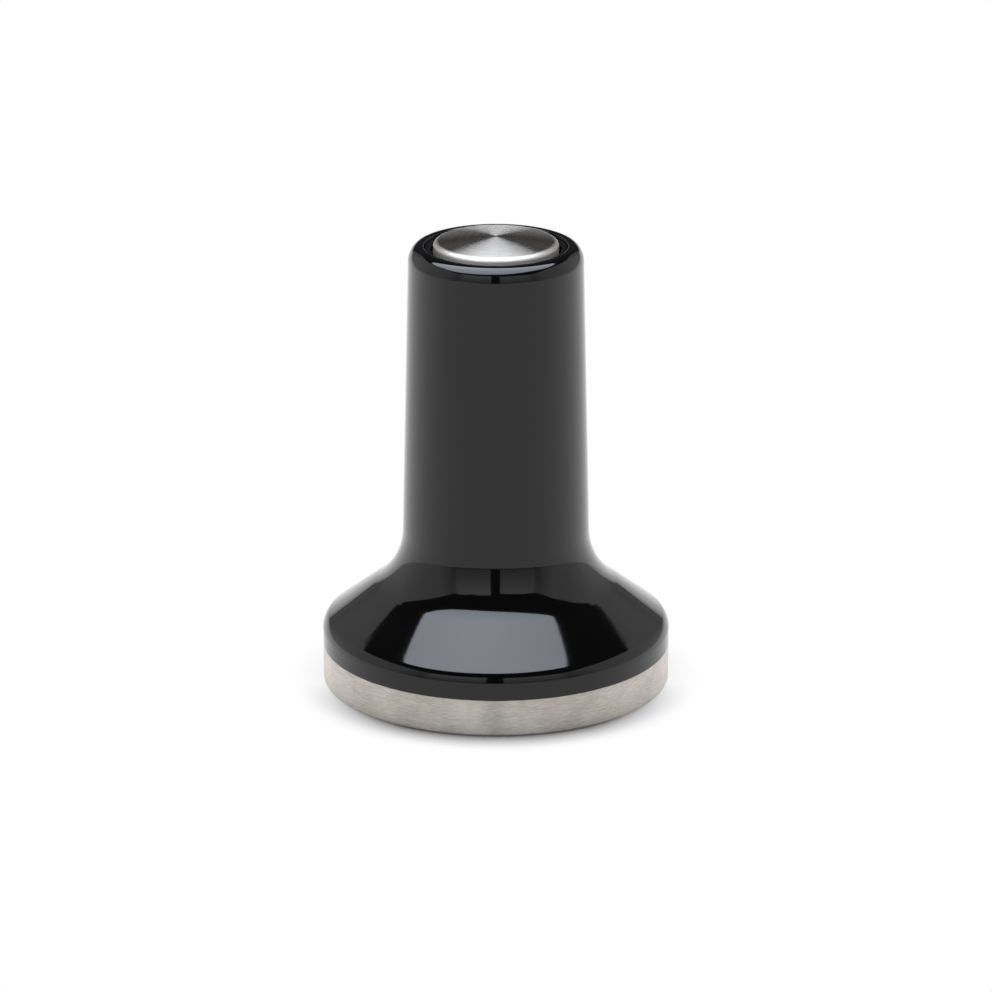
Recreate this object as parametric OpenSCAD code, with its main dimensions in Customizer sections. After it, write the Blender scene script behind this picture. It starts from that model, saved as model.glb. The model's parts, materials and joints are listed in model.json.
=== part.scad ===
// Espresso tamper with a sprung palm button.
// Origin: centre of the tamping face. +Z points up through the handle. Millimetres.

/* [Base] */
// Diameter of the steel base, which fits a 58 mm filter basket
base_d = 58.0; // [57:0.1:58.6]
// Height of the base's visible steel wall
base_h = 6.3; // [5:0.05:8]
// Rounding of the tamping face's edge
base_edge = 0.4; // [0.2:0.05:0.8]
// Height of the spigot that locates the base inside the skirt
spigot_h = 3.0; // [2.8:0.1:3.4]

/* [Handle outline] */
// Radius of the skirt's upright wall
skirt_r = 29.08; // [28.9:0.01:29.4]
// Height of the corner between the skirt's wall and the flare
skirt_top_z = 10.13; // [9.6:0.01:11]
// Rounding of that corner
shoulder_round = 2.7; // [1:0.05:3]
// Radius of the corner between the flare and the grip
waist_r = 15.73; // [15:0.01:17]
// Height of that corner
waist_z = 20.27; // [19.5:0.01:21]
// Radius of the hollow blend at the waist
waist_blend = 12.0; // [8:0.1:12]
// Radius of the grip at its top
grip_top_r = 14.5; // [14.5:0.01:15]
// Height of the rim above the tamping face
rim_z = 75.25; // [75:0.05:75.5]
// Slow rounding of the rim's outer edge, where it leaves the grip
rim_side_round = 3.3; // [2.4:0.1:3.4]
// Quick rounding of the same edge, where it meets the top
rim_top_round = 1.75; // [1.2:0.05:1.8]
// Rounding of the rim's inner edge
mouth_round = 0.25; // [0.1:0.05:0.25]

/* [Button] */
// Radius of the palm button
button_r = 10.35; // [10.2:0.01:10.5]
// Height that the button's crown stands above the rim
button_proud = 1.5; // [1:0.1:1.5]
// Height of the button's edge above the rim
button_edge_up = 0.71; // [0.3:0.01:0.75]
// Rounding of the button's edge
button_round = 0.8; // [0.3:0.05:0.9]
// Radius of the button's threaded boss
button_boss_r = 5.5; // [5.2:0.1:5.8]

/* [Mouth and seal] */
// Radius of the mouth at the top of the handle
mouth_r = 11.85; // [11.7:0.01:11.85]
// Inner radius of the dust seal's face
seal_face_r = 10.8; // [10.75:0.01:11]
// Inner radius of the dust seal's lip
seal_lip_r = 10.65; // [10.6:0.01:10.7]
// Depth of the dust seal's face below the rim
seal_depth = 0.6; // [0.4:0.05:0.9]
// Thickness of the dust seal
seal_h = 3.3; // [3:0.1:3.4]

/* [Spring] */
// Diameter of the spring's wire
wire_d = 2.5; // [2.3:0.05:2.6]
// Radius of the coil, to the middle of the wire
coil_r = 7.4; // [7.3:0.05:7.45]
// Number of turns between the two closed ends
active_turns = 5.5; // [5:0.5:7]
// Length of the fitted spring
spring_l = 28.8; // [28.4:0.1:29.2]

/* [Tie bolt] */
// Radius of the bolt's shank, M6
bolt_r = 3.0; // [2.9:0.05:3]
// Length of the bolt's shank
bolt_l = 25.0; // [24.8:0.1:25.2]
// Radius of the bolt's head
bolt_head_r = 5.0; // [4.9:0.05:5]
// Height of the bolt's head
bolt_head_h = 6.0; // [5.5:0.5:6]
// Width across the flats of the hex socket
bolt_key = 5.0; // [4:0.5:5]

/* [Hidden] */

$fn = 96;
arc_steps = 12;        // straight runs in a large rounded corner
small_arc_steps = 4;   // and in a corner rounded by less than small_arc_r
small_arc_r = 0.5;

gap = 0.05;            // clearance between pieces of one body
run = 0.05;            // radial running clearance of the stem
edge = 0.3;            // small chamfer on turned pieces
fine_edge = 0.12;      // edge break on both sides of the seam

// Base and skirt
base_r = base_d / 2;
spigot_r = 25.0;
recess_r = spigot_r + gap;
spigot_top = base_h + spigot_h;
recess_z = spigot_top + 0.1;
base_seal_r = 0.75;
base_seal_ring_r = spigot_r - base_seal_r;
base_seal_z = base_h + spigot_h / 2;
pocket_outer_r = 21.5;
pocket_wall_z = 12.0;
pocket_roof_r = 15.6;
pocket_roof_z = 16.5;
web_boss_r = 9.5;
rib_count = 6;
rib_w = 2.0;
pin_r = 1.25;
pin_l = 10.0;
pin_z = 4.2;
pin_circle_r = 6.4;

// The rim's outer edge leans in by rim_lean where its two roundings meet
rim_lean = 35;
rim_slant = rim_side_round * tan(rim_lean / 2) + rim_top_round * tan((90 - rim_lean) / 2) + 0.02;

// Handle bore, from the bottom up
floor_z = 23.4;
chamber_r = 9.35;
thread_r = 11.0;
thread_z = 56.6;
mouth_z = rim_z - seal_depth - seal_h;
bolt_hole_r = bolt_r + 0.3;

// Bolt stack
seat_h = 2.0;
seat_lip_h = 1.5;
seat_r = chamber_r - 0.1;
seat_lip_r = coil_r + wire_d / 2 + 0.15;
bolt_washer_z = floor_z + seat_h;
bolt_washer_h = 1.0;
lock_washer_h = 1.5;
lock_washer_slit = 0.8;
lock_washer_lean = 20;
bolt_head_z = bolt_washer_z + bolt_washer_h + lock_washer_h;
bolt_end_z = bolt_head_z - bolt_l;
bolt_pitch = 1.0;
bolt_thread_h = 7.0;

// Spring and plunger
spring_z = bolt_washer_z;
spring_top = spring_z + spring_l;
wire_sides = 10;
turn_steps = 24;
thrust_h = 0.8;
flange_r = 9.0;
flange_z = spring_top + thrust_h;
flange_h = 3.0;
flange_top = flange_z + flange_h;
spigot_low_r = coil_r - wire_d / 2 - 0.35;
spigot_low_h = 4.0;
stem_r = 4.0;

// Preload nut and what it carries
bumper_z = flange_top + 0.1;
bumper_h = 1.1;
nut_z = bumper_z + bumper_h;
nut_h = 7.0;
nut_top = nut_z + nut_h;
bush_r = 5.0;
bush_h = 4.0;
wiper_r = 0.6;
wiper_z = nut_z + bush_h + wiper_r;
wiper_seat_r = 5.5;
wiper_seat_top = wiper_z + wiper_r + 0.1;
nut_counter_r = 6.6;
key_hole_r = 1.25;
key_hole_depth = 3.0;
key_circle_r = 8.8;
lock_nut_h = 2.2;
lock_nut_top = nut_top + lock_nut_h;
lock_slot_w = 2.4;
lock_slot_depth = 1.0;
stop_h = 1.1;
stop_inner_r = 7.4;
stop_outer_r = 10.0;

// Button, from the bottom up
skirt_z = lock_nut_top + stop_h + button_proud + 0.1;
boss_z = nut_top + 0.7;
stem_washer_h = 0.7;
stem_washer_r = 5.0;
stem_shoulder_z = boss_z - stem_washer_h;
stud_r = 3.0;
crown_z = rim_z + button_proud;
stud_hole_top = crown_z - 3.0;
stud_top = stud_hole_top - 0.6;
crown_edge_r = button_r - button_round;
crown_edge_z = rim_z + button_edge_up;
crown_rise = crown_z - crown_edge_z;
crown_sphere_r = (crown_edge_r * crown_edge_r + crown_rise * crown_rise) / (2 * crown_rise);
hollow_inner_r = 6.2;
hollow_outer_r = 8.8;
hollow_top = crown_z - 3.2;

// ---- outline helpers ----

function unit(v) = v / norm(v);

// Arc of radius r that rounds the corner b between a and c
function corner_arc(a, b, c, r) =
    let (u = unit(a - b), w = unit(c - b),
         half = acos(u * w) / 2,
         centre = b + unit(u + w) * r / sin(half),
         from = b + u * r / tan(half) - centre,
         to = b + w * r / tan(half) - centre,
         start = atan2(from.y, from.x),
         turn = atan2(to.y, to.x) - start,
         sweep = turn > 180 ? turn - 360 : turn < -180 ? turn + 360 : turn,
         steps = r < small_arc_r ? small_arc_steps : arc_steps)
    [for (i = [0 : steps])
        centre + r * [cos(start + sweep * i / steps), sin(start + sweep * i / steps)]];

// Closed outline through [radius, height] corners; a third value rounds the corner
function rounded(path) =
    let (n = len(path))
    [for (i = [0 : n - 1])
        let (p = path[i], before = path[(i + n - 1) % n], after = path[(i + 1) % n])
        each len(p) == 3
            ? corner_arc([before.x, before.y], [p.x, p.y], [after.x, after.y], p[2])
            : [[p.x, p.y]]];

module turned(path) {
    rotate_extrude() polygon(rounded(path));
}

// Flat ring with chamfered corners
module ring(inner, outer, z, h, bevel = edge) {
    turned([[inner, z + bevel], [inner + bevel, z], [outer - bevel, z], [outer, z + bevel],
            [outer, z + h - bevel], [outer - bevel, z + h], [inner + bevel, z + h],
            [inner, z + h - bevel]]);
}

// Round-section ring
module o_ring(centre_r, section_r, z) {
    rotate_extrude() translate([centre_r, z]) circle(r = section_r, $fn = 32);
}

// Shank with a thread's crests and roots as plain grooves
module grooved_shank(r, z, h, pitch) {
    root = r - 0.6 * pitch;
    turns = ceil(h / pitch) - 1;
    rotate_extrude()
        polygon(concat([[0, z], [root, z]],
                       [for (i = [0 : turns - 1], k = [0, 1])
                           [k == 0 ? r : root, z + (i + 0.5 + 0.5 * k) * pitch]],
                       [[root, z + h], [0, z + h]]));
}

// ---- base ----

module base_plate() {
    groove_r = base_seal_ring_r - base_seal_r - gap;
    groove_half = base_seal_r + gap;
    color("silver") difference() {
        turned([[0, 0], [base_r, 0, base_edge], [base_r, base_h, fine_edge], [spigot_r, base_h],
                [spigot_r, base_seal_z - groove_half], [groove_r, base_seal_z - groove_half],
                [groove_r, base_seal_z + groove_half], [spigot_r, base_seal_z + groove_half],
                [spigot_r, spigot_top - edge], [spigot_r - edge, spigot_top], [0, spigot_top]]);
        translate([0, 0, bolt_end_z - 0.6])
            cylinder(r = bolt_r + 0.02, h = spigot_top);
        for (side = [-1, 1])
            translate([side * pin_circle_r, 0, pin_z - 0.1])
                cylinder(r = pin_r + 0.01, h = spigot_top, $fn = 32);
    }
}

module base_seal() {
    color("dimgray") o_ring(base_seal_ring_r, base_seal_r, base_seal_z);
}

module drive_pins() {
    color("gainsboro")
        for (side = [-1, 1])
            translate([side * pin_circle_r, 0, 0]) rotate_extrude($fn = 32)
                polygon([[0, pin_z], [pin_r - edge, pin_z], [pin_r, pin_z + edge],
                         [pin_r, pin_z + pin_l - edge], [pin_r - edge, pin_z + pin_l],
                         [0, pin_z + pin_l]]);
}

// ---- handle ----

// Outline of the hollow under the flare
function pocket_outline() =
    [[web_boss_r, recess_z], [pocket_outer_r, recess_z], [pocket_outer_r, pocket_wall_z],
     [pocket_roof_r, pocket_roof_z], [web_boss_r, pocket_roof_z]];

module handle_shell() {
    color([0.03, 0.03, 0.035]) {
        difference() {
            turned([[recess_r, base_h], [skirt_r, base_h, fine_edge],
                    [skirt_r, skirt_top_z, shoulder_round], [waist_r, waist_z, waist_blend],
                    [grip_top_r, rim_z - rim_slant * cos(rim_lean), rim_side_round],
                    [grip_top_r - rim_slant * sin(rim_lean), rim_z, rim_top_round],
                    [mouth_r, rim_z, mouth_round],
                    [mouth_r, mouth_z], [thread_r, mouth_z], [thread_r, thread_z],
                    [chamber_r, thread_z - 1.5], [chamber_r, floor_z], [bolt_hole_r, floor_z],
                    [bolt_hole_r, recess_z], [recess_r, recess_z]]);
            rotate_extrude() polygon(pocket_outline());
            for (side = [-1, 1])
                translate([side * pin_circle_r, 0, recess_z - 1])
                    cylinder(r = pin_r + 0.01, h = pin_z + pin_l + 0.2 - recess_z + 1, $fn = 32);
        }
        intersection() {
            rotate_extrude() polygon(pocket_outline());
            for (i = [0 : rib_count - 1])
                rotate(i * 360 / rib_count)
                    translate([web_boss_r - 1, -rib_w / 2, recess_z])
                        cube([pocket_outer_r, rib_w, pocket_roof_z]);
        }
    }
}

// ---- bolt that ties base and handle ----

module tie_bolt() {
    thread_top = bolt_end_z + bolt_thread_h;
    color("slategray") difference() {
        union() {
            turned([[0, thread_top - gap], [bolt_r, thread_top - gap], [bolt_r, bolt_head_z],
                    [bolt_head_r, bolt_head_z], [bolt_head_r, bolt_head_z + bolt_head_h, 0.5],
                    [0, bolt_head_z + bolt_head_h]]);
            grooved_shank(bolt_r, bolt_end_z, bolt_thread_h, bolt_pitch);
        }
        translate([0, 0, bolt_head_z + bolt_head_h / 2])
            cylinder(d = bolt_key / cos(30), h = bolt_head_h, $fn = 6);
    }
}

module tie_bolt_washer() {
    color("lightgray") ring(bolt_r + 0.2, bolt_head_r + 0.8, bolt_washer_z, bolt_washer_h, 0.1);
}

module tie_bolt_lock_washer() {
    washer_z = bolt_washer_z + bolt_washer_h;
    color("gray") difference() {
        ring(bolt_r + 0.1, bolt_head_r, washer_z, lock_washer_h, 0.1);
        translate([bolt_r - 1, 0, washer_z + lock_washer_h / 2])
            rotate([lock_washer_lean, 0, 0])
                translate([0, -lock_washer_slit / 2, -lock_washer_h])
                    cube([bolt_head_r, lock_washer_slit, 2 * lock_washer_h]);
    }
}

// ---- spring ----

module spring_seat() {
    color("darkgray")
        turned([[bolt_hole_r, floor_z], [seat_r, floor_z],
                [seat_r, floor_z + seat_h + seat_lip_h, 0.2],
                [seat_lip_r, floor_z + seat_h + seat_lip_h, 0.2],
                [seat_lip_r, floor_z + seat_h], [bolt_hole_r, floor_z + seat_h]]);
}

// Height of the wire's middle after a number of turns: closed at both ends, open between
function coil_z(turn) =
    let (open_rise = spring_l - 3 * wire_d,
         turns = active_turns + 2)
    turn < 1 ? spring_z + wire_d / 2 + turn * wire_d
    : turn > turns - 1 ? spring_top - wire_d / 2 - (turns - turn) * wire_d
    : spring_z + 1.5 * wire_d + (turn - 1) * open_rise / active_turns;

module calibration_spring() {
    turns = active_turns + 2;
    rings = turns * turn_steps;
    wire = [for (i = [0 : rings], k = [0 : wire_sides - 1])
               let (a = i * 360 / turn_steps, b = k * 360 / wire_sides,
                    r = coil_r + wire_d / 2 * cos(b))
               [r * cos(a), r * sin(a), coil_z(i / turn_steps) + wire_d / 2 * sin(b)]];
    sides = [for (i = [0 : rings - 1], k = [0 : wire_sides - 1])
                let (next = (k + 1) % wire_sides)
                [i * wire_sides + k, i * wire_sides + next,
                 (i + 1) * wire_sides + next, (i + 1) * wire_sides + k]];
    first = [for (k = [wire_sides - 1 : -1 : 0]) k];
    last = [for (k = [0 : wire_sides - 1]) rings * wire_sides + k];
    color("steelblue") polyhedron(wire, concat([first], sides, [last]));
}

module thrust_washer() {
    color("khaki") ring(spigot_low_r + 0.1, flange_r - 0.1, spring_top, thrust_h, 0.1);
}

// ---- plunger and its guide ----

module plunger() {
    low_z = flange_z - spigot_low_h;
    bevel_z = low_z + edge;
    color("lightsteelblue") union() {
        turned([[0, low_z], [spigot_low_r - edge, low_z], [spigot_low_r, bevel_z],
                [spigot_low_r, flange_z], [flange_r, flange_z, edge], [flange_r, flange_top, edge],
                [stem_r, flange_top], [stem_r, stem_shoulder_z], [0, stem_shoulder_z]]);
        grooved_shank(stud_r, stem_shoulder_z, stud_top - stem_shoulder_z, bolt_pitch);
    }
}

module return_bumper() {
    color("orange") ring(stem_r + 0.5, flange_r, bumper_z, bumper_h, 0.2);
}

module stem_bush() {
    color("peru") ring(stem_r + run, bush_r, nut_z, bush_h, 0.2);
}

module stem_wiper() {
    color("dimgray") o_ring(wiper_seat_r - wiper_r - gap, wiper_r, wiper_z);
}

module preload_nut() {
    color("darkkhaki") difference() {
        turned([[bush_r + 0.01, nut_z], [thread_r - gap, nut_z, edge],
                [thread_r - gap, nut_top, edge], [nut_counter_r, nut_top],
                [nut_counter_r, wiper_seat_top], [wiper_seat_r, wiper_seat_top],
                [wiper_seat_r, nut_z + bush_h], [bush_r + 0.01, nut_z + bush_h]]);
        for (side = [-1, 1])
            translate([side * key_circle_r, 0, nut_top - key_hole_depth])
                cylinder(r = key_hole_r, h = key_hole_depth + 1, $fn = 32);
    }
}

module lock_nut() {
    color("burlywood") difference() {
        turned([[nut_counter_r, nut_top], [thread_r - gap, nut_top, edge],
                [thread_r - gap, lock_nut_top, edge], [nut_counter_r, lock_nut_top]]);
        for (turn = [0, 90])
            rotate(turn) translate([-thread_r, -lock_slot_w / 2, lock_nut_top - lock_slot_depth])
                cube([2 * thread_r, lock_slot_w, lock_slot_depth + 1]);
    }
}

module stop_ring() {
    color("orange") ring(stop_inner_r, stop_outer_r, lock_nut_top, stop_h, 0.2);
}

module dust_seal() {
    face_z = rim_z - seal_depth;
    lip_z = face_z - seal_h / 2;
    color("black")
        turned([[seal_face_r + 0.4, mouth_z], [mouth_r - gap, mouth_z], [mouth_r - gap, face_z, 0.15],
                [seal_face_r, face_z, 0.15], [seal_face_r, lip_z + 0.4], [seal_lip_r, lip_z],
                [seal_face_r, lip_z - 0.4]]);
}

// ---- button ----

module button_lock_washer() {
    color("gray") ring(stud_r + 0.1, stem_washer_r, stem_shoulder_z, stem_washer_h, 0.1);
}

module palm_button() {
    edge_angle = asin(crown_edge_r / crown_sphere_r);
    crown = [for (i = [0 : arc_steps - 1])
                let (a = edge_angle * (1 - i / arc_steps))
                [crown_sphere_r * sin(a), crown_z - crown_sphere_r * (1 - cos(a))]];
    corner_z = crown_edge_z - (button_r - crown_edge_r) * tan(edge_angle);
    shoulder = corner_arc([button_r, skirt_z], [button_r, corner_z],
                          [crown_edge_r, crown_edge_z], button_round);
    color("silver")
        rotate_extrude()
            polygon(concat([[stud_r + 0.02, boss_z], [button_boss_r, boss_z],
                            [button_boss_r, skirt_z], [hollow_inner_r, skirt_z],
                            [hollow_inner_r, hollow_top], [hollow_outer_r, hollow_top],
                            [hollow_outer_r, skirt_z], [button_r - edge, skirt_z],
                            [button_r, skirt_z + edge]],
                           shoulder, crown,
                           [[0, crown_z], [0, stud_hole_top], [stud_r + 0.02, stud_hole_top]]));
}

base_plate();
base_seal();
drive_pins();
handle_shell();
tie_bolt();
tie_bolt_washer();
tie_bolt_lock_washer();
spring_seat();
calibration_spring();
thrust_washer();
plunger();
return_bumper();
stem_bush();
stem_wiper();
preload_nut();
lock_nut();
stop_ring();
dust_seal();
button_lock_washer();
palm_button();
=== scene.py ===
import json
import math

import bmesh
import bpy
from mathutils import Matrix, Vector

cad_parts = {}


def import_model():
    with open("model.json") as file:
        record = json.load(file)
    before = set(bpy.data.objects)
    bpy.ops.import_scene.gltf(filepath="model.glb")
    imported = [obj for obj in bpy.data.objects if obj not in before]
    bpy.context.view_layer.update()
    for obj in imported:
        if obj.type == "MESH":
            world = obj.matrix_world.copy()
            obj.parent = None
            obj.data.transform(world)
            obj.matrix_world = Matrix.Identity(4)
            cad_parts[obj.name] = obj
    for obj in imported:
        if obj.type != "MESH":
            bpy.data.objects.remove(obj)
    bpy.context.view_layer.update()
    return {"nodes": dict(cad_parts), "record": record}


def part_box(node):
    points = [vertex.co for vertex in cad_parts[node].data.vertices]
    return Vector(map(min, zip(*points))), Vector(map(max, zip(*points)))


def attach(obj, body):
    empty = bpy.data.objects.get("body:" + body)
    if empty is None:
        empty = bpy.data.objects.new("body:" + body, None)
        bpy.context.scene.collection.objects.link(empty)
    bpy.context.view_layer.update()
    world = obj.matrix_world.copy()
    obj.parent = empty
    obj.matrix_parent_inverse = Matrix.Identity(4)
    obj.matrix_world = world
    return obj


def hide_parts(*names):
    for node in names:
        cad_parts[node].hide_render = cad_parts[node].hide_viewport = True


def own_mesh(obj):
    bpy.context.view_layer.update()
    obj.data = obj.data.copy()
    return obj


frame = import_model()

MM = 0.001

# ---------------------------------------------------------------- sizes in mm, as in the CAD


def node_top(node):
    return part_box(node)[1].z / MM


def node_bottom(node):
    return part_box(node)[0].z / MM


def node_radius(node):
    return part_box(node)[1].x / MM


BASE_R = node_radius("base_plate")
SPIGOT_TOP = node_top("base_plate")
SEAM_Z = node_bottom("handle_shell")
SKIRT_R = node_radius("handle_shell")
RIM_Z = node_top("handle_shell")
CROWN_Z = node_top("palm_button")
BOSS_LOW_Z = node_bottom("palm_button")
BUTTON_R = node_radius("palm_button")
SEAL_LOW_Z = node_bottom("dust_seal")
SEAL_TOP_Z = node_top("dust_seal")
SEAL_R = node_radius("dust_seal")
SPRING_LOW_Z = node_bottom("calibration_spring")
SPRING_TOP_Z = node_top("calibration_spring")
CHAMBER_FLOOR_Z = node_bottom("spring_seat")
BOLT_LOW_Z = node_bottom("tie_bolt")
PIN_LOW_Z = node_bottom("drive_pins")
PIN_TOP_Z = node_top("drive_pins")

BASE_EDGE = 0.4
FINE_EDGE = 0.12
SPIGOT_R = 25.0
SPIGOT_EDGE = 0.3
GROOVE_R = 23.45
GROOVE_HALF = 0.8
BOLT_HOLE_R = 3.02
BOLT_HOLE_EXTRA = 0.6
PIN_HOLE_R = 1.26
PIN_CIRCLE_R = 6.4
PIN_HOLE_UNDER = 0.1
PIN_HOLE_OVER = 0.2

SHOULDER_Z = 10.13
SHOULDER_ROUND = 2.7
WAIST_R = 15.73
WAIST_Z = 20.27
WAIST_BLEND = 12.0
GRIP_TOP_R = 14.5
RIM_SIDE_ROUND = 3.3
RIM_TOP_ROUND = 1.75
RIM_LEAN = math.radians(35)
RIM_FLAT = 0.02
MOUTH_R = 11.85
MOUTH_ROUND = 0.25
THREAD_R = 11.0
THREAD_Z = 56.6
THREAD_RUNOUT = 1.5
CHAMBER_R = 9.35
BOLT_CLEAR_R = 3.3
RECESS_R = 25.05
RECESS_Z = 9.4
POCKET_INNER_R = 9.5
POCKET_OUTER_R = 21.5
POCKET_WALL_Z = 12.0
POCKET_ROOF_R = 15.6
POCKET_ROOF_Z = 16.5
RIB_COUNT = 6
RIB_HALF = 1.0
CUTTER_EXTRA = 1.0

BUTTON_ROUND = 0.8
BUTTON_EDGE_UP = 0.71
BUTTON_BEVEL = 0.3
BOSS_R = 5.5
BUTTON_LOW_Z = 71.1
STUD_R = 3.02
STUD_HOLE_DEPTH = 3.0
HOLLOW_DEPTH = 3.2
HOLLOW_INNER_R = 6.2
HOLLOW_OUTER_R = 8.8

SEAL_FACE_R = 10.8
SEAL_LIP_R = 10.65
SEAL_EDGE = 0.15
SEAL_LIP_HALF = 0.4
SEAL_LIP_ROUND = 0.08
SEAL_FOOT = 0.4

WIRE_R = 1.25
COIL_R = 7.4
COIL_TURNS = 7.5
CROWN_STEPS = 66

# ---------------------------------------------------------------- mesh helpers

ROUND_SEGMENTS = 256
ARC_STEP = math.radians(1.5)
LONGEST_RUN = 1.5


def corner_arc(before, corner, after, radius):
    """Points along the arc that rounds a corner of an outline."""
    u, w = (before - corner).normalized(), (after - corner).normalized()
    half = math.acos(max(-1, min(1, u.dot(w)))) / 2
    centre = corner + (u + w).normalized() * radius / math.sin(half)
    start = corner + u * radius / math.tan(half) - centre
    end = corner + w * radius / math.tan(half) - centre
    first = math.atan2(start.y, start.x)
    sweep = math.remainder(math.atan2(end.y, end.x) - first, math.tau)
    steps = max(3, round(abs(sweep) / ARC_STEP))
    return [centre + radius * Vector((math.cos(first + sweep * i / steps),
                                      math.sin(first + sweep * i / steps))) for i in range(steps + 1)]


def rounded(path):
    """Outline through (radius, height) corners; a third value rounds the corner."""
    flat = [Vector(p[:2]) for p in path]
    out = []
    for i, p in enumerate(path):
        if len(p) == 3:
            out += corner_arc(flat[i - 1], flat[i], flat[(i + 1) % len(path)], p[2])
        else:
            out.append(flat[i])
    return out


def refined(points):
    """The closed outline with long straight runs cut into shorter ones."""
    out = []
    for a, b in zip(points, points[1:] + points[:1]):
        steps = 1 if a.x == 0 and b.x == 0 else max(1, math.ceil((b - a).length / LONGEST_RUN))
        out += [a.lerp(b, i / steps) for i in range(steps)]
    return out


def new_piece(name, bm, sharp=30):
    """An object made from a bmesh, smooth except at edges sharper than the angle given."""
    bmesh.ops.recalc_face_normals(bm, faces=bm.faces)
    mesh = bpy.data.meshes.new(name)
    bm.to_mesh(mesh)
    bm.free()
    mesh.shade_smooth()
    mesh.set_sharp_from_angle(angle=math.radians(sharp))
    piece = bpy.data.objects.new(name, mesh)
    bpy.context.scene.collection.objects.link(piece)
    return piece


def lathe(name, outline, segments=ROUND_SEGMENTS):
    """A solid turned from a closed outline of (radius, height) points in millimetres."""
    bm = bmesh.new()
    rings = []
    for p in outline:
        if p.x < 1e-6:
            rings.append([bm.verts.new((0, 0, p.y * MM))] * segments)
        else:
            rings.append([bm.verts.new((p.x * MM * math.cos(a), p.x * MM * math.sin(a), p.y * MM))
                          for a in (math.tau * k / segments for k in range(segments))])
    for low, high in zip(rings, rings[1:] + rings[:1]):
        for k in range(segments):
            m = (k + 1) % segments
            corners = list(dict.fromkeys((low[k], low[m], high[m], high[k])))
            if len(corners) > 2:
                bm.faces.new(corners)
    return new_piece(name, bm)


def cylinder_cutter(x, radius, low, high, segments=48):
    """An upright cylinder to be cut out of a piece, with its axis at (x, 0)."""
    bm = bmesh.new()
    bmesh.ops.create_cone(bm, cap_ends=True, segments=segments, radius1=radius * MM,
                          radius2=radius * MM, depth=(high - low) * MM)
    bmesh.ops.translate(bm, verts=bm.verts, vec=(x * MM, 0, (low + high) / 2 * MM))
    return new_piece("cutter", bm)


def pocket_cutter(index, steps=20):
    """One of the hollows between two ribs under the flare."""
    low = RECESS_Z - CUTTER_EXTRA
    outline = [(POCKET_INNER_R, low), (POCKET_OUTER_R, low), (POCKET_OUTER_R, POCKET_WALL_Z),
               (POCKET_ROOF_R, POCKET_ROOF_Z), (POCKET_INNER_R, POCKET_ROOF_Z)]
    middle = (index + 0.5) * math.tau / RIB_COUNT
    bm = bmesh.new()
    rings = []
    for i in range(steps + 1):
        side = 2 * i / steps - 1
        ring = []
        for r, z in outline:
            a = middle + side * (math.pi / RIB_COUNT - math.asin(RIB_HALF / r))
            ring.append(bm.verts.new((r * MM * math.cos(a), r * MM * math.sin(a), z * MM)))
        rings.append(ring)
    count = len(outline)
    for a, b in zip(rings, rings[1:]):
        for k in range(count):
            bm.faces.new((a[k], a[(k + 1) % count], b[(k + 1) % count], b[k]))
    bm.faces.new(rings[0])
    bm.faces.new(rings[-1])
    return new_piece("cutter", bm)


def cut(piece, cutters):
    """Takes the cutters out of the piece and removes them."""
    for cutter in cutters:
        modifier = piece.modifiers.new("cut", "BOOLEAN")
        modifier.operation, modifier.solver, modifier.object = "DIFFERENCE", "EXACT", cutter
    bpy.context.view_layer.update()
    solved = piece.evaluated_get(bpy.context.evaluated_depsgraph_get())
    mesh = bpy.data.meshes.new_from_object(solved)
    piece.modifiers.clear()
    piece.data = mesh
    for cutter in cutters:
        bpy.data.objects.remove(cutter)
    return piece


# ---------------------------------------------------------------- material helpers


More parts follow.
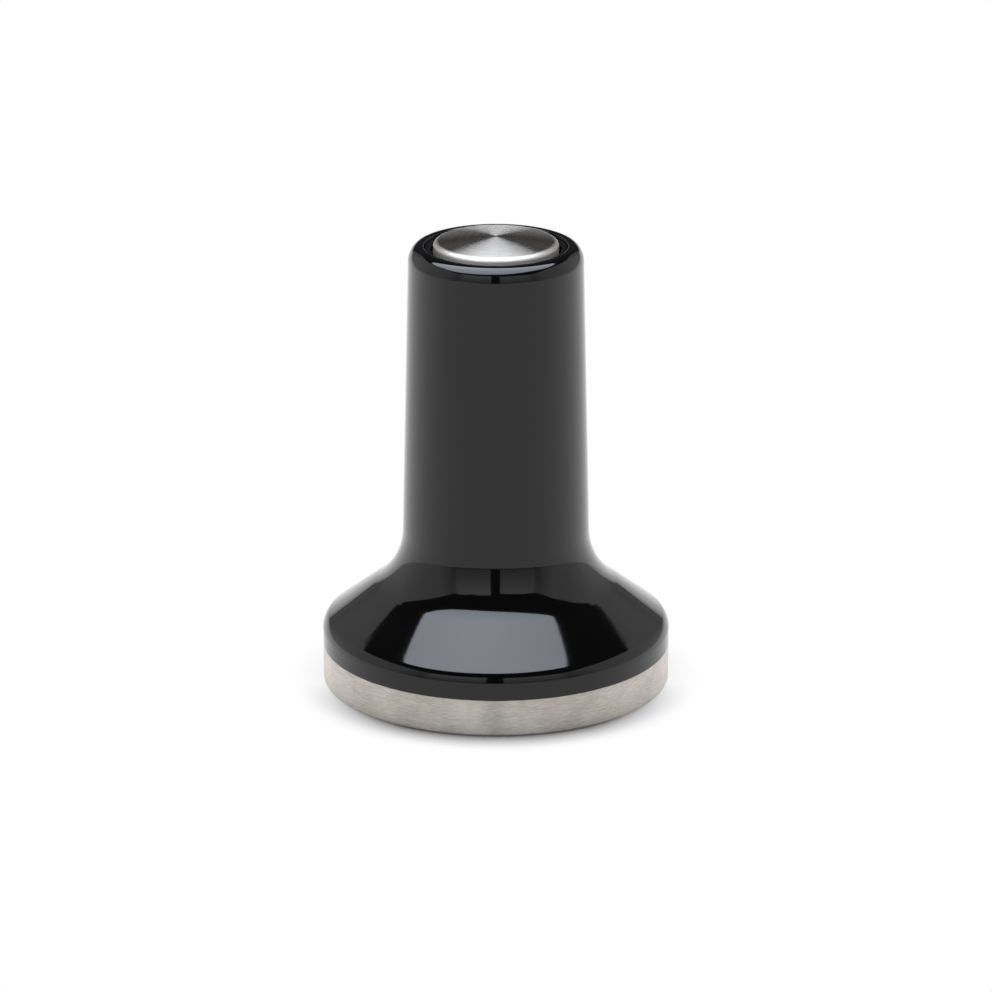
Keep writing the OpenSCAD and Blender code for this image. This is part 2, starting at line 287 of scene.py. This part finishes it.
class Nodes:
    """A material's node tree, with short ways to add to it."""

    def __init__(self, name):
        self.material = bpy.data.materials.new(name)
        self.material.use_nodes = True
        self.tree = self.material.node_tree
        self.shader = self.tree.nodes["Principled BSDF"]

    def add(self, kind, **settings):
        node = self.tree.nodes.new(kind)
        for key, value in settings.items():
            setattr(node, key, value)
        return node

    def link(self, source, target):
        self.tree.links.new(source, target)

    def feed(self, value, socket):
        """Links a node's output to the socket, or sets the socket to a plain value."""
        if isinstance(value, bpy.types.NodeSocket):
            self.link(value, socket)
        else:
            socket.default_value = value

    def math(self, operation, a, b=0.0, c=0.0):
        node = self.add("ShaderNodeMath", operation=operation)
        for socket, value in zip(node.inputs, (a, b, c)):
            self.feed(value, socket)
        return node.outputs[0]

    def place(self):
        """The point on the object, in metres, as a vector and as x, y and z."""
        vector = self.add("ShaderNodeTexCoord").outputs["Object"]
        split = self.add("ShaderNodeSeparateXYZ")
        self.link(vector, split.inputs[0])
        return vector, split.outputs

    def radius(self, x, y):
        squares = [self.math("MULTIPLY", value, value) for value in (x, y)]
        return self.math("SQRT", self.math("ADD", *squares))

    def round_axis(self, x, y, along, share):
        """A noise place that changes slowly round the Z axis: x and y count only by their share."""
        return self.vector(self.math("MULTIPLY", x, share), self.math("MULTIPLY", y, share), along)

    def vector(self, x, y, z):
        node = self.add("ShaderNodeCombineXYZ")
        for socket, value in zip(node.inputs, (x, y, z)):
            self.feed(value, socket)
        return node.outputs[0]

    def noise(self, vector, scale, detail=3.0, roughness=0.55):
        node = self.add("ShaderNodeTexNoise")
        node.inputs["Scale"].default_value = scale
        node.inputs["Detail"].default_value = detail
        node.inputs["Roughness"].default_value = roughness
        self.link(vector, node.inputs["Vector"])
        return node.outputs["Fac"]

    def ramp(self, value, low, high, to_low, to_high):
        node = self.add("ShaderNodeMapRange")
        self.link(value, node.inputs["Value"])
        ends = {"From Min": low, "From Max": high, "To Min": to_low, "To Max": to_high}
        for key, number in ends.items():
            node.inputs[key].default_value = number
        return node.outputs["Result"]

    def blend(self, factor, a, b):
        """Colour a where factor is 0, colour b where it is 1."""
        node = self.add("ShaderNodeMix", data_type="RGBA")
        self.link(factor, node.inputs["Factor"])
        sockets = [s for s in node.inputs if s.type == "RGBA"]
        sockets[0].default_value = (*a, 1)
        sockets[1].default_value = (*b, 1)
        return [s for s in node.outputs if s.type == "RGBA"][0]

    def mix(self, factor, a, b):
        """Value a where factor is 0, value b where it is 1."""
        return self.math("ADD", self.math("MULTIPLY", factor, b),
                         self.math("MULTIPLY", self.math("SUBTRACT", 1.0, factor), a))

    def bump(self, height, distance, strength=1.0, under=None):
        node = self.add("ShaderNodeBump")
        node.inputs["Strength"].default_value = strength
        node.inputs["Distance"].default_value = distance
        self.link(height, node.inputs["Height"])
        if under is not None:
            self.link(under, node.inputs["Normal"])
        return node.outputs["Normal"]

    def set(self, **values):
        """Feeds the shader's inputs; an underscore stands for a space in an input's name."""
        for key, value in values.items():
            self.feed(value, self.shader.inputs[key.replace("_", " ")])

    def emit(self, strength, colour=(1, 1, 1)):
        """Makes the material give off light instead of reflecting it."""
        emission = self.add("ShaderNodeEmission")
        emission.inputs["Color"].default_value = (*colour, 1)
        self.link(strength, emission.inputs["Strength"])
        output = [node for node in self.tree.nodes if node.type == "OUTPUT_MATERIAL"][0]
        self.link(emission.outputs[0], output.inputs["Surface"])

    def groove_tangent(self):
        """Spreads the gloss across grooves that run round the Z axis."""
        tangent = self.add("ShaderNodeTangent", direction_type="RADIAL", axis="Z")
        self.link(tangent.outputs[0], self.shader.inputs["Tangent"])
        self.shader.inputs["Anisotropic Rotation"].default_value = 0.25


def gloss_black_paint():
    """Deep black lacquer with a faint orange peel and a fine grain."""
    n = Nodes("gloss_black_paint")
    point, _ = n.place()
    peel = n.noise(point, 420, detail=1.0)
    grain = n.noise(point, 5200, detail=2.0)
    cloud = n.noise(point, 60, detail=4.0)
    normal = n.bump(peel, 0.0000035)
    normal = n.bump(grain, 0.0000009, under=normal)
    n.set(Base_Color=n.blend(cloud, (0.0005, 0.0005, 0.0007), (0.0011, 0.0011, 0.0014)),
          Roughness=n.ramp(cloud, 0.3, 0.7, 0.050, 0.075), Normal=normal, IOR=1.5)
    return n.material


def gloss_black_polymer():
    """Smooth moulded black, shinier than rubber, with a faint flow."""
    n = Nodes("gloss_black_polymer")
    point, _ = n.place()
    flow = n.noise(point, 350, detail=3.0)
    skin = n.noise(point, 4200, detail=2.0)
    n.set(Base_Color=n.blend(flow, (0.0012, 0.0012, 0.0014), (0.0030, 0.0030, 0.0034)),
          Roughness=n.ramp(flow, 0.3, 0.7, 0.11, 0.19), Normal=n.bump(skin, 0.0000015))
    return n.material


def brushed_steel(name, dark, light, roughness, streak_depth):
    """Steel brushed round the Z axis, with streaks of uneven length and depth."""
    n = Nodes(name)
    point, (x, y, z) = n.place()
    long_streak = n.noise(n.round_axis(x, y, z, 0.03), 7200, 3.0)
    short_streak = n.noise(n.round_axis(x, y, z, 0.10), 8000, 3.0)
    handled = n.noise(point, 150, 2.0)
    streak = n.math("MULTIPLY_ADD", long_streak, 0.35, n.math("MULTIPLY", short_streak, 0.65))
    tone = n.math("MULTIPLY_ADD", handled, 0.3, n.math("MULTIPLY", streak, 0.7))
    n.set(Base_Color=n.blend(n.ramp(tone, 0.38, 0.62, 0.0, 1.0), dark, light),
          Metallic=1.0, Roughness=n.ramp(streak, 0.3, 0.7, roughness + 0.03, roughness - 0.03),
          Anisotropic=1.0, Normal=n.bump(streak, streak_depth))
    n.groove_tangent()
    return n.material


BUTTON_EDGE_ZONE = (0.0093, 0.0098)


def spun_steel(name, dark, light, roughness, ring_depth):
    """Steel faced on a lathe: fine rings round the Z axis, and a plainer, rougher rolled edge whose
    colour is painted a little darker, as shade that dims its highlight.
    """
    n = Nodes(name)
    _, (x, y, _) = n.place()
    radius = n.radius(x, y)
    flat = n.vector(radius, n.math("MULTIPLY", x, 0.02), n.math("MULTIPLY", y, 0.02))
    fine = n.noise(flat, 7000, 2.0)
    broad = n.noise(flat, 1900, 1.0)
    edge = n.ramp(radius, *BUTTON_EDGE_ZONE, 0.0, 1.0)
    # Toward the rim the colour is held a little darker: painted shade that dims the rolled edge's
    # highlight.
    tone = n.math("MULTIPLY_ADD", n.ramp(fine, 0.3, 0.7, 0.0, 1.0), n.math("SUBTRACT", 1.0, edge),
                  n.math("MULTIPLY", edge, 0.4))
    n.set(Base_Color=n.blend(tone, dark, light), Metallic=1.0,
          Roughness=n.math("ADD", n.ramp(fine, 0.3, 0.7, roughness + 0.02, roughness - 0.02),
                           n.math("MULTIPLY", edge, 0.24)),
          Anisotropic=n.math("SUBTRACT", 1.0, n.math("MULTIPLY", edge, 0.5)),
          Normal=n.bump(broad, ring_depth))
    n.groove_tangent()
    return n.material


def turned_metal(name, dark, light, roughness, metallic=1.0):
    """Machined bar stock with feed marks, seen when the tool is taken apart."""
    n = Nodes(name)
    point, (x, y, z) = n.place()
    radius = n.radius(x, y)
    marks = n.noise(n.vector(radius, n.math("MULTIPLY", x, 0.04), z), 7000, 2.0)
    stain = n.noise(point, 220, 4.0)
    n.set(Base_Color=n.blend(n.ramp(stain, 0.3, 0.7, 0.0, 1.0), dark, light), Metallic=metallic,
          Roughness=n.ramp(marks, 0.3, 0.7, roughness + 0.07, roughness - 0.07),
          Anisotropic=0.5, Normal=n.bump(marks, 0.000004))
    n.groove_tangent()
    return n.material


def drawn_wire(name, dark, light):
    """Oiled spring wire, mottled and finely pitted."""
    n = Nodes(name)
    point, _ = n.place()
    scale = n.noise(point, 900, 5.0)
    mottled = n.noise(point, 160, 3.0)
    n.set(Base_Color=n.blend(n.ramp(mottled, 0.35, 0.65, 0.0, 1.0), dark, light),
          Metallic=1.0, Roughness=n.ramp(scale, 0.3, 0.7, 0.26, 0.42), Normal=n.bump(scale, 0.000006))
    return n.material


def sooty_oxide(name, dark, worn):
    """Black oxide on steel: dull, with brown-grey wear."""
    n = Nodes(name)
    point, _ = n.place()
    wear = n.noise(point, 700, 6.0, 0.65)
    n.set(Base_Color=n.blend(n.ramp(wear, 0.45, 0.7, 0.0, 1.0), dark, worn),
          Metallic=0.9, Roughness=n.ramp(wear, 0.3, 0.7, 0.52, 0.36), Normal=n.bump(wear, 0.000008))
    return n.material


def soft_rubber(name, dark, light, roughness, cloudy=0.0):
    """Moulded rubber or urethane with a fine, matte skin."""
    n = Nodes(name)
    point, _ = n.place()
    skin = n.noise(point, 3200, 3.0)
    bloom = n.noise(point, 300, 3.0)
    n.set(Base_Color=n.blend(n.ramp(bloom, 0.35, 0.65, 0.0, 1.0), dark, light),
          Roughness=n.ramp(skin, 0.3, 0.7, roughness + 0.08, roughness - 0.08),
          Normal=n.bump(skin, 0.000008))
    n.set(Subsurface_Weight=cloudy, Subsurface_Scale=0.002)
    return n.material


MATERIALS = {
    "gloss_black_paint": gloss_black_paint(),
    "brushed_base_steel": brushed_steel(
        "brushed_base_steel", (0.50, 0.468, 0.425), (0.76, 0.72, 0.665), 0.33, streak_depth=0.000003),
    "spun_button_steel": spun_steel(
        "spun_button_steel", (0.46, 0.44, 0.41), (0.64, 0.61, 0.565), 0.28, ring_depth=0.0000022),
    "gloss_black_polymer": gloss_black_polymer(),
    "black_rubber": soft_rubber("black_rubber", (0.010, 0.010, 0.010), (0.020, 0.020, 0.020), 0.5),
    "bright_steel": turned_metal("bright_steel", (0.50, 0.51, 0.52), (0.66, 0.67, 0.68), 0.26),
    "black_oxide_steel": sooty_oxide("black_oxide_steel", (0.022, 0.022, 0.025), (0.10, 0.095, 0.09)),
    "spring_steel": drawn_wire("spring_steel", (0.20, 0.20, 0.21), (0.36, 0.36, 0.37)),
    "turned_brass": turned_metal("turned_brass", (0.60, 0.43, 0.18), (0.78, 0.60, 0.30), 0.24),
    "bronze": turned_metal("bronze", (0.42, 0.25, 0.13), (0.58, 0.38, 0.21), 0.38),
    "amber_urethane": soft_rubber(
        "amber_urethane", (0.42, 0.19, 0.03), (0.60, 0.31, 0.07), 0.32, cloudy=0.3),
}


def finish_piece(piece, body, slot, *nodes):
    """Gives a new piece its material and its body, and hides the CAD nodes that it stands for."""
    piece.data.materials.clear()
    piece.data.materials.append(MATERIALS[slot])
    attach(piece, body)
    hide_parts(*nodes)
    return piece


# ---------------------------------------------------------------- pieces


def base_steel():
    """The base: a disc with a spigot, the seal's groove and the holes for the bolt and the dowels."""
    groove_z = (SEAM_Z + SPIGOT_TOP) / 2
    outline = rounded([
        (0, 0), (BASE_R, 0, BASE_EDGE), (BASE_R, SEAM_Z, FINE_EDGE), (SPIGOT_R, SEAM_Z),
        (SPIGOT_R, groove_z - GROOVE_HALF), (GROOVE_R, groove_z - GROOVE_HALF),
        (GROOVE_R, groove_z + GROOVE_HALF), (SPIGOT_R, groove_z + GROOVE_HALF),
        (SPIGOT_R, SPIGOT_TOP - SPIGOT_EDGE), (SPIGOT_R - SPIGOT_EDGE, SPIGOT_TOP), (0, SPIGOT_TOP)])
    piece = lathe("base_steel", refined(outline))
    open_z = SPIGOT_TOP + CUTTER_EXTRA
    cutters = [cylinder_cutter(0, BOLT_HOLE_R, BOLT_LOW_Z - BOLT_HOLE_EXTRA, open_z)]
    cutters += [cylinder_cutter(x, PIN_HOLE_R, PIN_LOW_Z - PIN_HOLE_UNDER, open_z)
                for x in (-PIN_CIRCLE_R, PIN_CIRCLE_R)]
    return finish_piece(cut(piece, cutters), "handle", "brushed_base_steel", "base_plate")


def handle_lacquered():
    """The grip: skirt, flare, rim, mouth, thread, spring chamber, and the hollow under the flare."""
    slant = (RIM_SIDE_ROUND * math.tan(RIM_LEAN / 2)
             + RIM_TOP_ROUND * math.tan((math.pi / 2 - RIM_LEAN) / 2) + RIM_FLAT)
    outline = rounded([
        (RECESS_R, SEAM_Z), (SKIRT_R, SEAM_Z, FINE_EDGE), (SKIRT_R, SHOULDER_Z, SHOULDER_ROUND),
        (WAIST_R, WAIST_Z, WAIST_BLEND),
        (GRIP_TOP_R, RIM_Z - slant * math.cos(RIM_LEAN), RIM_SIDE_ROUND),
        (GRIP_TOP_R - slant * math.sin(RIM_LEAN), RIM_Z, RIM_TOP_ROUND),
        (MOUTH_R, RIM_Z, MOUTH_ROUND), (MOUTH_R, SEAL_LOW_Z), (THREAD_R, SEAL_LOW_Z),
        (THREAD_R, THREAD_Z), (CHAMBER_R, THREAD_Z - THREAD_RUNOUT), (CHAMBER_R, CHAMBER_FLOOR_Z),
        (BOLT_CLEAR_R, CHAMBER_FLOOR_Z), (BOLT_CLEAR_R, RECESS_Z), (RECESS_R, RECESS_Z)])
    piece = lathe("handle_lacquered", refined(outline))
    cutters = [pocket_cutter(i) for i in range(RIB_COUNT)]
    cutters += [cylinder_cutter(x, PIN_HOLE_R, RECESS_Z - CUTTER_EXTRA, PIN_TOP_Z + PIN_HOLE_OVER)
                for x in (-PIN_CIRCLE_R, PIN_CIRCLE_R)]
    return finish_piece(cut(piece, cutters), "handle", "gloss_black_paint", "handle_shell")


def crown_outline():
    """The button's rolled edge and its domed face, from the skirt to the centre."""
    edge_r = BUTTON_R - BUTTON_ROUND
    edge_z = RIM_Z + BUTTON_EDGE_UP
    rise = CROWN_Z - edge_z
    sphere_r = (edge_r ** 2 + rise ** 2) / (2 * rise)
    slope = math.asin(edge_r / sphere_r)
    corner_z = edge_z - BUTTON_ROUND * math.tan(slope)
    shoulder = corner_arc(Vector((BUTTON_R, BUTTON_LOW_Z)), Vector((BUTTON_R, corner_z)),
                          Vector((edge_r, edge_z)), BUTTON_ROUND)
    crown = []
    for i in range(1, CROWN_STEPS):
        a = slope * (1 - i / CROWN_STEPS)
        crown.append(Vector((sphere_r * math.sin(a), CROWN_Z - sphere_r * (1 - math.cos(a)))))
    return shoulder + crown


def palm_button_spun():
    """The button: domed face, skirt, boss with the stud's hole, and the hollow between them."""
    hole_top = CROWN_Z - STUD_HOLE_DEPTH
    hollow_top = CROWN_Z - HOLLOW_DEPTH
    under = [Vector(p) for p in (
        (0, CROWN_Z), (0, hole_top), (STUD_R, hole_top), (STUD_R, BOSS_LOW_Z), (BOSS_R, BOSS_LOW_Z),
        (BOSS_R, BUTTON_LOW_Z), (HOLLOW_INNER_R, BUTTON_LOW_Z), (HOLLOW_INNER_R, hollow_top),
        (HOLLOW_OUTER_R, hollow_top), (HOLLOW_OUTER_R, BUTTON_LOW_Z),
        (BUTTON_R - BUTTON_BEVEL, BUTTON_LOW_Z), (BUTTON_R, BUTTON_LOW_Z + BUTTON_BEVEL))]
    piece = lathe("palm_button_spun", refined(under + crown_outline()))
    return finish_piece(piece, "button", "spun_button_steel", "palm_button")


def dust_seal_ring():
    """The seal: a ring with a lip toward the button's skirt."""
    lip_z = (SEAL_LOW_Z + SEAL_TOP_Z) / 2
    outline = rounded([
        (SEAL_FACE_R + SEAL_FOOT, SEAL_LOW_Z), (SEAL_R, SEAL_LOW_Z), (SEAL_R, SEAL_TOP_Z, SEAL_EDGE),
        (SEAL_FACE_R, SEAL_TOP_Z, SEAL_EDGE), (SEAL_FACE_R, lip_z + SEAL_LIP_HALF),
        (SEAL_LIP_R, lip_z, SEAL_LIP_ROUND), (SEAL_FACE_R, lip_z - SEAL_LIP_HALF)])
    return finish_piece(lathe("dust_seal_ring", refined(outline)), "handle",
                        "gloss_black_polymer", "dust_seal")


def wire_height(turn, length):
    """Height of the wire's middle in a spring of this length: closed at both ends, open between."""
    wire = 2 * WIRE_R
    if turn < 1:
        return SPRING_LOW_Z + WIRE_R + turn * wire
    if turn > COIL_TURNS - 1:
        return SPRING_TOP_Z - WIRE_R - (COIL_TURNS - turn) * wire
    return SPRING_LOW_Z + 1.5 * wire + (turn - 1) * (length - 3 * wire) / (COIL_TURNS - 2)


def spring_coil(steps=64, sides=20):
    """The spring: one wire, built at its rest length."""
    length = SPRING_TOP_Z - SPRING_LOW_Z
    bm = bmesh.new()
    rings = []
    count = round(COIL_TURNS * steps)
    for i in range(count + 1):
        turn = i / steps
        a = turn * math.tau
        middle = wire_height(turn, length)
        ring = []
        for k in range(sides):
            b = math.tau * k / sides
            r = COIL_R + WIRE_R * math.cos(b)
            ring.append(bm.verts.new((r * MM * math.cos(a), r * MM * math.sin(a),
                                      (middle + WIRE_R * math.sin(b)) * MM)))
        rings.append(ring)
    for a, b in zip(rings, rings[1:]):
        for k in range(sides):
            bm.faces.new((a[k], a[(k + 1) % sides], b[(k + 1) % sides], b[k]))
    bm.faces.new(rings[0])
    bm.faces.new(rings[-1])
    piece = finish_piece(new_piece("spring_coil", bm), "handle", "spring_steel", "calibration_spring")
    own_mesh(piece)
    return piece


base_steel()
handle_lacquered()
palm_button_spun()
dust_seal_ring()
spring_coil()

SLOT_OF_NODE = {part["node"]: part["material_slot"] for part in frame["record"]["subparts"]}
for node_name, node_object in frame["nodes"].items():
    for material_slot in node_object.material_slots:
        material_slot.material = MATERIALS[SLOT_OF_NODE[node_name]]

# ---------------------------------------------------------------- camera

CAMERA_ELEVATION = math.radians(18.878)
CAMERA_DISTANCE = 0.8946
CAMERA_TARGET_Z = 0.03171
CAMERA_LENS = 194.64

camera = bpy.data.objects.new("camera", bpy.data.cameras.new("camera"))
bpy.context.scene.collection.objects.link(camera)
camera.data.lens = CAMERA_LENS
camera.location = (0, -CAMERA_DISTANCE * math.cos(CAMERA_ELEVATION),
                   CAMERA_TARGET_Z + CAMERA_DISTANCE * math.sin(CAMERA_ELEVATION))
camera.rotation_euler = (math.pi / 2 - CAMERA_ELEVATION, 0, 0)
bpy.context.scene.camera = camera
bpy.context.scene.view_settings.view_transform = "Standard"

# ---------------------------------------------------------------- studio

# Metres, and radiance where white is 1.
FLOOR_SIDE = 30.0
TABLE_FRONT = -1.0
FLOOR_GLOW_FRONT = 0.86
FLOOR_GLOW_BACK = 1.26
FLOOR_GLOW_SPAN = (-0.7, 0.85)
MIDDLE_R = 0.02
SHADOW_REACH = 0.012
SHADOW_OPENNESS = (0.50, 0.82)
SHADOW_DARK = 0.08
SHADOW_ASIDE = 0.12
SHADOW_SPAN = (-0.85, -0.15)

ROOM_RADIANCE = 0.045
EYE_Z = 0.015

FRONT_DISTANCE = 1.0
FRONT_LIFT = 0.022
FRONT_FADE = (0.05, 0.70)
FRONT_LEFT = ((-47, 37.6), (-30, 38.3), (-15, 39.8), (-6.3, 39.4))
FRONT_RIGHT = ((4.9, 37.3), (15, 37.6), (30, 37.4), (46, 35.5))
CORNER_LEFT = ((-54, 36.5), (-46.5, 36.5))
CORNER_RIGHT = ((45.5, 35.5), (54, 35.5))

SIDE_X = 0.42
SIDE_RADIANCE = 0.71
SIDE_NEAR = (-0.33, -0.13)
SIDE_NEAR_DIM = 0.36
SIDE_FAR = (0.22, 0.72)
SIDE_FAR_DIM = 0.27
SIDE_LEAN = 0.2
BACK_POSTS = ((0.48, 0.05, 0.475), (0.60, 0.085, 0.53), (0.90, 0.17, 0.60))
LEFT_POSTS = ((-0.34, 0.013, 0.410), (-0.242, 0.013, 0.394), (-0.15, 0.013, 0.383),
              (0.0, 0.013, 0.374), (0.15, 0.013, 0.372), (0.235, 0.013, 0.382),
              (0.285, 0.014, 0.426), (0.315, 0.016, 0.412), (0.35, 0.02, 0.430)) + BACK_POSTS
RIGHT_POSTS = ((-0.34, 0.013, 0.410), (-0.242, 0.013, 0.397), (-0.15, 0.013, 0.402),
               (0.0, 0.013, 0.394), (0.10, 0.013, 0.404), (0.235, 0.013, 0.398),
               (0.286, 0.014, 0.427), (0.344, 0.02, 0.407)) + BACK_POSTS

SWEEP_Y = 1.0
SWEEP_TOP = 0.17
SWEEP_HALF = 1.5
SWEEP_RADIANCE = (1.08, 0.60)

LIGHT_Z = 0.14
LIGHT_MIDDLE = (-0.013, 0.0)
LIGHT_R = 0.083
LIGHT_EDGE = ((0.055, 0.034), (0.071, 0.012), (0.074, -0.012), (0.062, -0.037), (0.039, -0.059),
              (0.010, -0.071), (-0.018, -0.072), (-0.048, -0.066), (-0.074, -0.050), (-0.090, -0.026),
              (-0.095, 0.002), (-0.091, 0.024), (-0.074, 0.038), (-0.040, 0.028), (-0.005, 0.026),
              (0.030, 0.026))
LIGHT_SMOOTHING = 3
LIGHT_RADIANCE = (6.6, 4.7)
LIGHT_COLOUR = (0.85, 0.90, 1.0)


def sheet_from(name, rows, faces):
    """A stage sheet from points and faces."""
    mesh = bpy.data.meshes.new(name)
    mesh.from_pydata(rows, [], faces)
    sheet = bpy.data.objects.new(name, mesh)
    bpy.context.scene.collection.objects.link(sheet)
    return sheet


def screen(name, posts):
    """An upright sheet through (x, y, low z, high z) posts."""
    points = [(x, y, z) for x, y, low, high in posts for z in (low, high)]
    faces = [(2 * i, 2 * i + 2, 2 * i + 3, 2 * i + 1) for i in range(len(posts) - 1)]
    return sheet_from(name, points, faces)


def glow(sheet, strength_of, colour=(1, 1, 1)):
    """Makes a sheet give off light; it shows only in reflections and casts no shadow."""
    n = Nodes(sheet.name)
    _, xyz = n.place()
    n.emit(strength_of(n, *xyz), colour)
    sheet.data.materials.append(n.material)
    sheet.visible_camera = False
    sheet.visible_shadow = False
    return sheet


def front_screen(name, edge, bottom, top):
    """Part of the screen round the front, through (azimuth, elevation of the top) in degrees.

    Its radiance runs from bottom to top.
    """
    posts = []
    for azimuth, elevation in edge:
        a = math.radians(azimuth)
        posts.append((FRONT_DISTANCE * math.sin(a), -FRONT_DISTANCE * math.cos(a), FRONT_LIFT,
                      EYE_Z + FRONT_DISTANCE * math.tan(math.radians(elevation))))
    return glow(screen(name, posts), lambda n, x, y, z: n.ramp(z, *FRONT_FADE, bottom, top))


def side_screen(name, x, posts):
    """Screen along one side, through (y, low z, high z) posts, dimmer toward its two ends."""
    def strength(n, _, y, z):
        leaning_y = n.math("MULTIPLY_ADD", z, SIDE_LEAN, y)
        near = n.ramp(leaning_y, *SIDE_NEAR, SIDE_NEAR_DIM, SIDE_RADIANCE)
        far = n.ramp(y, *SIDE_FAR, SIDE_RADIANCE, SIDE_FAR_DIM)
        return n.math("MINIMUM", near, far)
    return glow(screen(name, [(x, *post) for post in posts]), strength)


def sweep():
    """The low white screen behind, which fades toward its top."""
    sheet = screen("sweep", [(x, SWEEP_Y, 0, SWEEP_TOP) for x in (-SWEEP_HALF, SWEEP_HALF)])
    return glow(sheet, lambda n, x, y, z: n.ramp(z, SWEEP_TOP / 2, SWEEP_TOP, *SWEEP_RADIANCE))


def floor_sheet(name, low_y, high_y):
    """White glowing floor with a painted contact shadow, from occlusion, only where the tamper
    stands; reflections see it glowing brighter behind, a painted light.
    """
    half = FLOOR_SIDE / 2
    corners = ((-half, low_y, 0), (half, low_y, 0), (half, high_y, 0), (-half, high_y, 0))
    sheet = sheet_from(name, corners, ((0, 1, 2, 3),))
    n = Nodes(name)
    _, (x, y, _) = n.place()
    radius = n.radius(x, y)
    depth = n.math("DIVIDE", y, n.math("MAXIMUM", radius, MIDDLE_R))
    reflected = n.ramp(depth, *FLOOR_GLOW_SPAN, FLOOR_GLOW_FRONT, FLOOR_GLOW_BACK)
    path = n.add("ShaderNodeLightPath")
    shade = n.add("ShaderNodeAmbientOcclusion", samples=16)
    shade.inputs["Distance"].default_value = SHADOW_REACH
    # Painted contact shadow: the floor's glow is dimmed where occlusion is high, mostly in front.
    shadow = n.ramp(shade.outputs["AO"], *SHADOW_OPENNESS, 1.0 - SHADOW_DARK, 0.0)
    toward_front = n.ramp(depth, *SHADOW_SPAN, 1.0, SHADOW_ASIDE)
    lit = n.math("SUBTRACT", 1.0, n.math("MULTIPLY", shadow, toward_front))
    n.emit(n.math("MULTIPLY", lit, n.mix(path.outputs["Is Camera Ray"], reflected, 1.0)))
    sheet.data.materials.append(n.material)
    return sheet


def world():
    """White to the camera, a dim room to everything else."""
    scene_world = bpy.data.worlds.new("world")
    bpy.context.scene.world = scene_world
    scene_world.use_nodes = True
    tree = scene_world.node_tree
    background = tree.nodes["Background"]
    path = tree.nodes.new("ShaderNodeLightPath")
    strength = tree.nodes.new("ShaderNodeMapRange")
    tree.links.new(path.outputs["Is Camera Ray"], strength.inputs["Value"])
    strength.inputs["To Min"].default_value = ROOM_RADIANCE
    strength.inputs["To Max"].default_value = 1.0
    background.inputs["Color"].default_value = (1, 1, 1, 1)
    tree.links.new(strength.outputs["Result"], background.inputs["Strength"])


def softbox():
    """The lamp over the tamper, with rounded corners and a hollow back edge."""
    edge = list(LIGHT_EDGE)
    for _ in range(LIGHT_SMOOTHING):
        pairs = list(zip(edge, edge[1:] + edge[:1]))
        edge = [(p[0] + (q[0] - p[0]) * t, p[1] + (q[1] - p[1]) * t)
                for p, q in pairs for t in (0.25, 0.75)]
    count = len(edge)
    points = [(x, y, LIGHT_Z) for x, y in edge + [LIGHT_MIDDLE]]
    sheet = sheet_from("softbox", points, [(i, (i + 1) % count, count) for i in range(count)])

    def strength(n, x, y, _):
        dx, dy = (n.math("SUBTRACT", value, middle) for value, middle in zip((x, y), LIGHT_MIDDLE))
        return n.ramp(n.radius(dx, dy), 0.0, LIGHT_R, *LIGHT_RADIANCE)
    return glow(sheet, strength, LIGHT_COLOUR)


floor_sheet("floor", TABLE_FRONT, FLOOR_SIDE)
floor_sheet("floor_front", -FLOOR_SIDE, TABLE_FRONT).visible_glossy = False
world()
softbox()
front_screen("front_left", FRONT_LEFT, bottom=0.42, top=0.92)
front_screen("front_right", FRONT_RIGHT, bottom=0.42, top=0.84)
front_screen("corner_left", CORNER_LEFT, bottom=0.30, top=0.62)
front_screen("corner_right", CORNER_RIGHT, bottom=0.30, top=0.58)
side_screen("side_left", -SIDE_X, LEFT_POSTS)
side_screen("side_right", SIDE_X, RIGHT_POSTS)
sweep()
